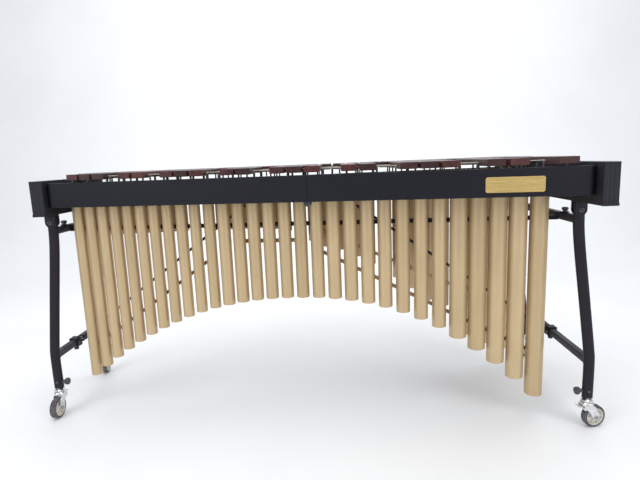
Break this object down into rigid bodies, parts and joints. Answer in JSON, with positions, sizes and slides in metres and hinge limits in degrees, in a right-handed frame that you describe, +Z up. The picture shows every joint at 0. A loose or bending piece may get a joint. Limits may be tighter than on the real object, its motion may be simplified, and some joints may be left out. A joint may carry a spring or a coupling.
{
  "type": "concert xylophone",
  "caption": "Concert keyboard percussion instrument: rosewood bars in two rows over arched gold resonator tubes, on a black frame with bowed legs and braked casters.",
  "frame": {"origin": "on the floor, under the middle of the overall bounding box", "axes": "+X along the keyboard towards the low notes, +Y towards the player, -Y towards the audience, +Z up"},
  "size_m": [1.9372, 0.9272, 0.885],
  "materials": {
    "black_board": "satin black stain",
    "gold_plate": "satin, blank",
    "rosewood": "oiled, satin",
    "gold_tube": "satin champagne gold",
    "black_plastic": "moulded, semi-matte",
    "black_paint": "powder coat, satin",
    "pale_plastic": "moulded, satin",
    "tyre": "worn grey rubber",
    "chrome": "bright"
  },
  "bodies": {
    "height_stem_high_audience": {"caster_stem_high_audience": "chrome"},
    "swivel_fork_high_audience": {"caster_fork_high_audience": "chrome"},
    "wheel_high_audience": {"caster_hub_high_audience": "pale_plastic", "caster_tyre_high_audience": "tyre"},
    "brake_high_audience": {"caster_brake_high_audience": "chrome"},
    "clamp_knob_high_audience": {"leg_knob_high_audience": "black_plastic"},
    "height_stem_high_player": {"caster_stem_high_player": "chrome"},
    "swivel_fork_high_player": {"caster_fork_high_player": "chrome"},
    "wheel_high_player": {"caster_hub_high_player": "pale_plastic", "caster_tyre_high_player": "tyre"},
    "brake_high_player": {"caster_brake_high_player": "chrome"},
    "clamp_knob_high_player": {"leg_knob_high_player": "black_plastic"},
    "height_stem_low_audience": {"caster_stem_low_audience": "chrome"},
    "swivel_fork_low_audience": {"caster_fork_low_audience": "chrome"},
    "wheel_low_audience": {"caster_hub_low_audience": "pale_plastic", "caster_tyre_low_audience": "tyre"},
    "brake_low_audience": {"caster_brake_low_audience": "chrome"},
    "clamp_knob_low_audience": {"leg_knob_low_audience": "black_plastic"},
    "height_stem_low_player": {"caster_stem_low_player": "chrome"},
    "swivel_fork_low_player": {"caster_fork_low_player": "chrome"},
    "wheel_low_player": {"caster_hub_low_player": "pale_plastic", "caster_tyre_low_player": "tyre"},
    "brake_low_player": {"caster_brake_low_player": "chrome"},
    "clamp_knob_low_player": {"leg_knob_low_player": "black_plastic"},
    "hanger_knob_accidental_high": {"resonator_knob_accidental_high": "black_plastic"},
    "hanger_knob_accidental_low": {"resonator_knob_accidental_low": "black_plastic"},
    "hanger_knob_natural_high": {"resonator_knob_natural_high": "black_plastic"},
    "hanger_knob_natural_low": {"resonator_knob_natural_low": "black_plastic"},
    "frame": {"audience_board_high": "black_board", "audience_board_low": "black_board", "audience_board_joint": "black_board", "accidental_inner_rail": "black_board", "accidental_outer_rail": "black_board", "player_board_high": "black_board", "player_board_low": "black_board", "player_board_joint": "black_board", "natural_inner_rail": "black_board", "natural_outer_rail": "black_board", "end_board_high": "black_board", "end_board_low": "black_board", "centre_plate": "black_board", "blank_nameplate": "gold_plate", "accidental_bars_on_cord": "rosewood", "accidental_resonators": "gold_tube", "natural_bars_on_cord": "rosewood", "natural_resonators": "gold_tube", "leg_frame_high": "black_paint", "stay_rod_high": "black_paint", "stay_clamp_high": "black_paint", "leg_yoke_high_audience": "black_paint", "leg_yoke_high_player": "black_paint", "leg_frame_low": "black_paint", "stay_rod_low": "black_paint", "stay_clamp_low": "black_paint", "leg_yoke_low_audience": "black_paint", "leg_yoke_low_player": "black_paint"}
  },
  "joints": [
    {"name": "height_high_audience", "type": "slide", "parent": "frame", "child": "height_stem_high_audience", "axis": [0, 0, 1], "range_m": [-0.06, 0]},
    {"name": "swivel_high_audience", "type": "hinge", "parent": "height_stem_high_audience", "child": "swivel_fork_high_audience", "pos_m": [-0.94388, -0.15061, 0.085], "axis": [0, 0, 1], "continuous": true},
    {"name": "roll_high_audience", "type": "hinge", "parent": "swivel_fork_high_audience", "child": "wheel_high_audience", "pos_m": [-0.94388, -0.17561, 0.0375], "axis": [1, 0, 0], "continuous": true},
    {"name": "brake_press_high_audience", "type": "hinge", "parent": "swivel_fork_high_audience", "child": "brake_high_audience", "pos_m": [-0.94388, -0.13761, 0.072], "axis": [-1, 0, 0], "range_deg": [0, 12], "stiffness_Nm_per_rad": 0.05, "springref_deg": -17.19},
    {"name": "clamp_turn_high_audience", "type": "hinge", "parent": "frame", "child": "clamp_knob_high_audience", "pos_m": [-0.91788, -0.15061, 0.128], "axis": [1, 0, 0], "continuous": true},
    {"name": "height_high_player", "type": "slide", "parent": "frame", "child": "height_stem_high_player", "axis": [0, 0, 1], "range_m": [-0.06, 0]},
    {"name": "swivel_high_player", "type": "hinge", "parent": "height_stem_high_player", "child": "swivel_fork_high_player", "pos_m": [-0.94388, 0.18138, 0.085], "axis": [0, 0, 1], "continuous": true},
    {"name": "roll_high_player", "type": "hinge", "parent": "swivel_fork_high_player", "child": "wheel_high_player", "pos_m": [-0.94822, 0.20601, 0.0375], "axis": [-0.9848, -0.1736, 0], "continuous": true},
    {"name": "brake_press_high_player", "type": "hinge", "parent": "swivel_fork_high_player", "child": "brake_high_player", "pos_m": [-0.94163, 0.16858, 0.072], "axis": [0.9848, 0.1736, 0], "range_deg": [0, 12], "stiffness_Nm_per_rad": 0.05, "springref_deg": -17.19},
    {"name": "clamp_turn_high_player", "type": "hinge", "parent": "frame", "child": "clamp_knob_high_player", "pos_m": [-0.91788, 0.18138, 0.128], "axis": [1, 0, 0], "continuous": true},
    {"name": "height_low_audience", "type": "slide", "parent": "frame", "child": "height_stem_low_audience", "axis": [0, 0, 1], "range_m": [-0.06, 0]},
    {"name": "swivel_low_audience", "type": "hinge", "parent": "height_stem_low_audience", "child": "swivel_fork_low_audience", "pos_m": [0.90612, -0.29362, 0.085], "axis": [0, 0, 1], "continuous": true},
    {"name": "roll_low_audience", "type": "hinge", "parent": "swivel_fork_low_audience", "child": "wheel_low_audience", "pos_m": [0.93066, -0.28884, 0.0375], "axis": [-0.1908, 0.9816, 0], "continuous": true},
    {"name": "brake_press_low_audience", "type": "hinge", "parent": "swivel_fork_low_audience", "child": "brake_low_audience", "pos_m": [0.89336, -0.29609, 0.072], "axis": [0.1908, -0.9816, 0], "range_deg": [0, 12], "stiffness_Nm_per_rad": 0.05, "springref_deg": -17.19},
    {"name": "clamp_turn_low_audience", "type": "hinge", "parent": "frame", "child": "clamp_knob_low_audience", "pos_m": [0.88012, -0.29362, 0.128], "axis": [1, 0, 0], "continuous": true},
    {"name": "height_low_player", "type": "slide", "parent": "frame", "child": "height_stem_low_player", "axis": [0, 0, 1], "range_m": [-0.06, 0]},
    {"name": "swivel_low_player", "type": "hinge", "parent": "height_stem_low_player", "child": "swivel_fork_low_player", "pos_m": [0.90612, 0.27638, 0.085], "axis": [0, 0, 1], "continuous": true},
    {"name": "roll_low_player", "type": "hinge", "parent": "swivel_fork_low_player", "child": "wheel_low_player", "pos_m": [0.9266, 0.29073, 0.0375], "axis": [-0.5736, 0.8192, 0], "continuous": true},
    {"name": "brake_press_low_player", "type": "hinge", "parent": "swivel_fork_low_player", "child": "brake_low_player", "pos_m": [0.89547, 0.26893, 0.072], "axis": [0.5736, -0.8192, 0], "range_deg": [0, 12], "stiffness_Nm_per_rad": 0.05, "springref_deg": -17.19},
    {"name": "clamp_turn_low_player", "type": "hinge", "parent": "frame", "child": "clamp_knob_low_player", "pos_m": [0.88012, 0.27638, 0.128], "axis": [1, 0, 0], "continuous": true},
    {"name": "hanger_turn_accidental_high", "type": "hinge", "parent": "frame", "child": "hanger_knob_accidental_high", "pos_m": [-0.88988, -0.07796, 0.7056], "axis": [0, 0, 1], "continuous": true},
    {"name": "hanger_turn_accidental_low", "type": "hinge", "parent": "frame", "child": "hanger_knob_accidental_low", "pos_m": [0.85212, -0.1999, 0.7056], "axis": [0, 0, 1], "continuous": true},
    {"name": "hanger_turn_natural_high", "type": "hinge", "parent": "frame", "child": "hanger_knob_natural_high", "pos_m": [-0.88988, 0.06412, 0.7056], "axis": [0, 0, 1], "continuous": true},
    {"name": "hanger_turn_natural_low", "type": "hinge", "parent": "frame", "child": "hanger_knob_natural_low", "pos_m": [0.85212, 0.19128, 0.7056], "axis": [0, 0, 1], "continuous": true}
  ]
}
